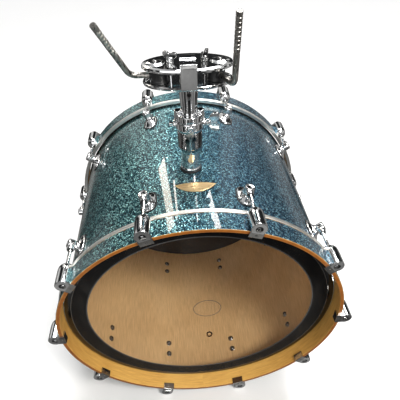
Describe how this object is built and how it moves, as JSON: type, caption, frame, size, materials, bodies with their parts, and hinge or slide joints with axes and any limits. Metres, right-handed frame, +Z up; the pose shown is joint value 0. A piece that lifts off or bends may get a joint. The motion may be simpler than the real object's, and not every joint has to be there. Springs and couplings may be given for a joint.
{
  "type": "bass drum",
  "caption": "Lug-tensioned wooden bass drum with two heads, clawed hoops, a double tom holder on top and folding spurs.",
  "frame": {"origin": "point on the floor straight under the middle of the drum, which rests on four claws", "axes": "+Z up, +Y along the drum from the batter head to the resonant head, +X to the right seen from the batter side"},
  "size_m": [0.626, 0.4836, 0.8809],
  "materials": {
    "sparkle_shell": "teal to blue sparkle wrap under gloss lacquer on a maple shell",
    "sparkle_hoop": "blue sparkle inlay outside, amber lacquered maple inside and on the edges",
    "chrome": "polished plate",
    "steel": "drawn bar, dull plate with light scratches",
    "clear_film": "clear polyester film",
    "tinted_film": "dark tinted polyester film",
    "black_film": "black printed film",
    "rubber": "matt",
    "nylon": "moulded",
    "gold": "satin"
  },
  "bodies": {
    "shell": {"shell_with_lugs": "sparkle_shell", "air_vent": "chrome", "badge": "gold", "mount_gasket": "rubber", "mount_receiver": "chrome", "left_spur_gasket": "rubber", "left_spur_bracket": "chrome", "right_spur_gasket": "rubber", "right_spur_bracket": "chrome"},
    "batter_side": {"batter_hoop": "sparkle_hoop", "batter_rim_with_claws": "chrome", "batter_head": "clear_film", "damping_ring": "black_film", "beater_patch": "clear_film"},
    "resonant_side": {"resonant_hoop": "sparkle_hoop", "resonant_rim_with_claws": "chrome", "resonant_head": "tinted_film"},
    "memory_lock": {"memory_lock": "chrome"},
    "holder": {"holder_post": "chrome", "lower_plate": "chrome", "upper_plate": "chrome", "centre_block": "nylon", "top_saddle": "chrome"},
    "left_clamp": {"left_arm_clamp": "nylon"},
    "right_clamp": {"right_arm_clamp": "nylon"},
    "left_arm": {"left_tom_arm": "steel"},
    "right_arm": {"right_tom_arm": "steel"},
    "left_clamp_bolt": {"left_clamp_bolt": "chrome"},
    "right_clamp_bolt": {"right_clamp_bolt": "chrome"},
    "receiver_bolt": {"receiver_wing_bolt": "chrome"},
    "receiver_screw": {"receiver_key_screw": "chrome"},
    "batter_tension_rod_01": {"batter_tension_rod_01": "chrome"},
    "batter_tension_rod_02": {"batter_tension_rod_02": "chrome"},
    "batter_tension_rod_03": {"batter_tension_rod_03": "chrome"},
    "batter_tension_rod_04": {"batter_tension_rod_04": "chrome"},
    "batter_tension_rod_05": {"batter_tension_rod_05": "chrome"},
    "batter_tension_rod_06": {"batter_tension_rod_06": "chrome"},
    "batter_tension_rod_07": {"batter_tension_rod_07": "chrome"},
    "batter_tension_rod_08": {"batter_tension_rod_08": "chrome"},
    "batter_tension_rod_09": {"batter_tension_rod_09": "chrome"},
    "batter_tension_rod_10": {"batter_tension_rod_10": "chrome"},
    "resonant_tension_rod_01": {"resonant_tension_rod_01": "chrome"},
    "resonant_tension_rod_02": {"resonant_tension_rod_02": "chrome"},
    "resonant_tension_rod_03": {"resonant_tension_rod_03": "chrome"},
    "resonant_tension_rod_04": {"resonant_tension_rod_04": "chrome"},
    "resonant_tension_rod_05": {"resonant_tension_rod_05": "chrome"},
    "resonant_tension_rod_06": {"resonant_tension_rod_06": "chrome"},
    "resonant_tension_rod_07": {"resonant_tension_rod_07": "chrome"},
    "resonant_tension_rod_08": {"resonant_tension_rod_08": "chrome"},
    "resonant_tension_rod_09": {"resonant_tension_rod_09": "chrome"},
    "resonant_tension_rod_10": {"resonant_tension_rod_10": "chrome"},
    "left_spur": {"left_spur_leg": "chrome"},
    "left_spur_extension": {"left_spur_rod": "steel", "left_spur_foot": "rubber"},
    "left_spur_bolt": {"left_spur_wing_bolt": "chrome"},
    "right_spur": {"right_spur_leg": "chrome"},
    "right_spur_extension": {"right_spur_rod": "steel", "right_spur_foot": "rubber"},
    "right_spur_bolt": {"right_spur_wing_bolt": "chrome"}
  },
  "joints": [
    {"name": "batter_side_slide", "type": "slide", "parent": "shell", "child": "batter_side", "axis": [0, -1, 0], "range_m": [0, 0.00635]},
    {"name": "batter_rod_01_turn", "type": "hinge", "parent": "batter_side", "child": "batter_tension_rod_01", "pos_m": [-0.0924, -0.2, 0.58273], "axis": [0, -1, 0], "range_deg": [0, 2160]},
    {"name": "batter_rod_02_turn", "type": "hinge", "parent": "batter_side", "child": "batter_tension_rod_02", "pos_m": [-0.2419, -0.2, 0.47411], "axis": [0, -1, 0], "range_deg": [0, 2160]},
    {"name": "batter_rod_03_turn", "type": "hinge", "parent": "batter_side", "child": "batter_tension_rod_03", "pos_m": [-0.299, -0.2, 0.29837], "axis": [0, -1, 0], "range_deg": [0, 2160]},
    {"name": "batter_rod_04_turn", "type": "hinge", "parent": "batter_side", "child": "batter_tension_rod_04", "pos_m": [-0.2419, -0.2, 0.12262], "axis": [0, -1, 0], "range_deg": [0, 2160]},
    {"name": "batter_rod_05_turn", "type": "hinge", "parent": "batter_side", "child": "batter_tension_rod_05", "pos_m": [-0.0924, -0.2, 0.014], "axis": [0, -1, 0], "range_deg": [0, 2160]},
    {"name": "batter_rod_06_turn", "type": "hinge", "parent": "batter_side", "child": "batter_tension_rod_06", "pos_m": [0.0924, -0.2, 0.014], "axis": [0, -1, 0], "range_deg": [0, 2160]},
    {"name": "batter_rod_07_turn", "type": "hinge", "parent": "batter_side", "child": "batter_tension_rod_07", "pos_m": [0.2419, -0.2, 0.12262], "axis": [0, -1, 0], "range_deg": [0, 2160]},
    {"name": "batter_rod_08_turn", "type": "hinge", "parent": "batter_side", "child": "batter_tension_rod_08", "pos_m": [0.299, -0.2, 0.29837], "axis": [0, -1, 0], "range_deg": [0, 2160]},
    {"name": "batter_rod_09_turn", "type": "hinge", "parent": "batter_side", "child": "batter_tension_rod_09", "pos_m": [0.2419, -0.2, 0.47411], "axis": [0, -1, 0], "range_deg": [0, 2160]},
    {"name": "batter_rod_10_turn", "type": "hinge", "parent": "batter_side", "child": "batter_tension_rod_10", "pos_m": [0.0924, -0.2, 0.58273], "axis": [0, -1, 0], "range_deg": [0, 2160]},
    {"name": "resonant_side_slide", "type": "slide", "parent": "shell", "child": "resonant_side", "axis": [0, 1, 0], "range_m": [0, 0.00635]},
    {"name": "resonant_rod_01_turn", "type": "hinge", "parent": "resonant_side", "child": "resonant_tension_rod_01", "pos_m": [0.0924, 0.2, 0.58273], "axis": [0, 1, 0], "range_deg": [0, 2160]},
    {"name": "resonant_rod_02_turn", "type": "hinge", "parent": "resonant_side", "child": "resonant_tension_rod_02", "pos_m": [0.2419, 0.2, 0.47411], "axis": [0, 1, 0], "range_deg": [0, 2160]},
    {"name": "resonant_rod_03_turn", "type": "hinge", "parent": "resonant_side", "child": "resonant_tension_rod_03", "pos_m": [0.299, 0.2, 0.29837], "axis": [0, 1, 0], "range_deg": [0, 2160]},
    {"name": "resonant_rod_04_turn", "type": "hinge", "parent": "resonant_side", "child": "resonant_tension_rod_04", "pos_m": [0.2419, 0.2, 0.12262], "axis": [0, 1, 0], "range_deg": [0, 2160]},
    {"name": "resonant_rod_05_turn", "type": "hinge", "parent": "resonant_side", "child": "resonant_tension_rod_05", "pos_m": [0.0924, 0.2, 0.014], "axis": [0, 1, 0], "range_deg": [0, 2160]},
    {"name": "resonant_rod_06_turn", "type": "hinge", "parent": "resonant_side", "child": "resonant_tension_rod_06", "pos_m": [-0.0924, 0.2, 0.014], "axis": [0, 1, 0], "range_deg": [0, 2160]},
    {"name": "resonant_rod_07_turn", "type": "hinge", "parent": "resonant_side", "child": "resonant_tension_rod_07", "pos_m": [-0.2419, 0.2, 0.12262], "axis": [0, 1, 0], "range_deg": [0, 2160]},
    {"name": "resonant_rod_08_turn", "type": "hinge", "parent": "resonant_side", "child": "resonant_tension_rod_08", "pos_m": [-0.299, 0.2, 0.29837], "axis": [0, 1, 0], "range_deg": [0, 2160]},
    {"name": "resonant_rod_09_turn", "type": "hinge", "parent": "resonant_side", "child": "resonant_tension_rod_09", "pos_m": [-0.2419, 0.2, 0.47411], "axis": [0, 1, 0], "range_deg": [0, 2160]},
    {"name": "resonant_rod_10_turn", "type": "hinge", "parent": "resonant_side", "child": "resonant_tension_rod_10", "pos_m": [-0.0924, 0.2, 0.58273], "axis": [0, 1, 0], "range_deg": [0, 2160]},
    {"name": "holder_height", "type": "slide", "parent": "shell", "child": "memory_lock", "axis": [0, 0, 1], "range_m": [0, 0.07]},
    {"name": "holder_swivel", "type": "hinge", "parent": "memory_lock", "child": "holder", "pos_m": [-0.005, -0.059, 0.68777], "axis": [0, 0, 1], "continuous": true},
    {"name": "left_clamp_swing", "type": "hinge", "parent": "holder", "child": "left_clamp", "pos_m": [-0.051, -0.059, 0.76527], "axis": [0, 0, 1], "range_deg": [-25, 25]},
    {"name": "right_clamp_swing", "type": "hinge", "parent": "holder", "child": "right_clamp", "pos_m": [0.041, -0.059, 0.76527], "axis": [0, 0, 1], "range_deg": [-20, 45]},
    {"name": "left_arm_turn", "type": "hinge", "parent": "left_clamp", "child": "left_arm", "pos_m": [-0.051, -0.059, 0.76527], "axis": [-1, 0, 0], "range_deg": [-60, 60]},
    {"name": "right_arm_turn", "type": "hinge", "parent": "right_clamp", "child": "right_arm", "pos_m": [0.041, -0.059, 0.76527], "axis": [0.3961, -0.9182, 0], "range_deg": [-60, 60]},
    {"name": "left_clamp_bolt_turn", "type": "hinge", "parent": "holder", "child": "left_clamp_bolt", "pos_m": [-0.032, -0.059, 0.78477], "axis": [0, 0, 1], "continuous": true},
    {"name": "right_clamp_bolt_turn", "type": "hinge", "parent": "holder", "child": "right_clamp_bolt", "pos_m": [0.022, -0.059, 0.78477], "axis": [0, 0, 1], "continuous": true},
    {"name": "receiver_bolt_turn", "type": "hinge", "parent": "shell", "child": "receiver_bolt", "pos_m": [0.025, -0.059, 0.67477], "axis": [1, 0, 0], "continuous": true},
    {"name": "receiver_screw_turn", "type": "hinge", "parent": "shell", "child": "receiver_screw", "pos_m": [-0.035, -0.059, 0.67477], "axis": [-1, 0, 0], "continuous": true},
    {"name": "left_spur_fold", "type": "hinge", "parent": "shell", "child": "left_spur", "pos_m": [-0.2768, 0.11, 0.17513], "axis": [0.883, 0, -0.4694], "range_deg": [0, 116.7]},
    {"name": "left_spur_extend", "type": "slide", "parent": "left_spur", "child": "left_spur_extension", "axis": [0, -1, 0], "range_m": [0, 0.06]},
    {"name": "left_spur_bolt_turn", "type": "hinge", "parent": "shell", "child": "left_spur_bolt", "pos_m": [-0.2768, 0.11, 0.17513], "axis": [-0.883, 0, 0.4694], "continuous": true},
    {"name": "right_spur_fold", "type": "hinge", "parent": "shell", "child": "right_spur", "pos_m": [0.2768, 0.11, 0.17513], "axis": [0.883, 0, 0.4694], "range_deg": [0, 116.7]},
    {"name": "right_spur_extend", "type": "slide", "parent": "right_spur", "child": "right_spur_extension", "axis": [0, -1, 0], "range_m": [0, 0.06]},
    {"name": "right_spur_bolt_turn", "type": "hinge", "parent": "shell", "child": "right_spur_bolt", "pos_m": [0.2768, 0.11, 0.17513], "axis": [0.883, 0, 0.4694], "continuous": true}
  ],
  "couplings": [
    {"joint": "batter_rod_01_turn", "follows": "batter_side_slide", "rad_per_m": 5936.9},
    {"joint": "batter_rod_02_turn", "follows": "batter_side_slide", "rad_per_m": 5936.9},
    {"joint": "batter_rod_03_turn", "follows": "batter_side_slide", "rad_per_m": 5936.9},
    {"joint": "batter_rod_04_turn", "follows": "batter_side_slide", "rad_per_m": 5936.9},
    {"joint": "batter_rod_05_turn", "follows": "batter_side_slide", "rad_per_m": 5936.9},
    {"joint": "batter_rod_06_turn", "follows": "batter_side_slide", "rad_per_m": 5936.9},
    {"joint": "batter_rod_07_turn", "follows": "batter_side_slide", "rad_per_m": 5936.9},
    {"joint": "batter_rod_08_turn", "follows": "batter_side_slide", "rad_per_m": 5936.9},
    {"joint": "batter_rod_09_turn", "follows": "batter_side_slide", "rad_per_m": 5936.9},
    {"joint": "batter_rod_10_turn", "follows": "batter_side_slide", "rad_per_m": 5936.9},
    {"joint": "resonant_rod_01_turn", "follows": "resonant_side_slide", "rad_per_m": 5936.9},
    {"joint": "resonant_rod_02_turn", "follows": "resonant_side_slide", "rad_per_m": 5936.9},
    {"joint": "resonant_rod_03_turn", "follows": "resonant_side_slide", "rad_per_m": 5936.9},
    {"joint": "resonant_rod_04_turn", "follows": "resonant_side_slide", "rad_per_m": 5936.9},
    {"joint": "resonant_rod_05_turn", "follows": "resonant_side_slide", "rad_per_m": 5936.9},
    {"joint": "resonant_rod_06_turn", "follows": "resonant_side_slide", "rad_per_m": 5936.9},
    {"joint": "resonant_rod_07_turn", "follows": "resonant_side_slide", "rad_per_m": 5936.9},
    {"joint": "resonant_rod_08_turn", "follows": "resonant_side_slide", "rad_per_m": 5936.9},
    {"joint": "resonant_rod_09_turn", "follows": "resonant_side_slide", "rad_per_m": 5936.9},
    {"joint": "resonant_rod_10_turn", "follows": "resonant_side_slide", "rad_per_m": 5936.9}
  ]
}
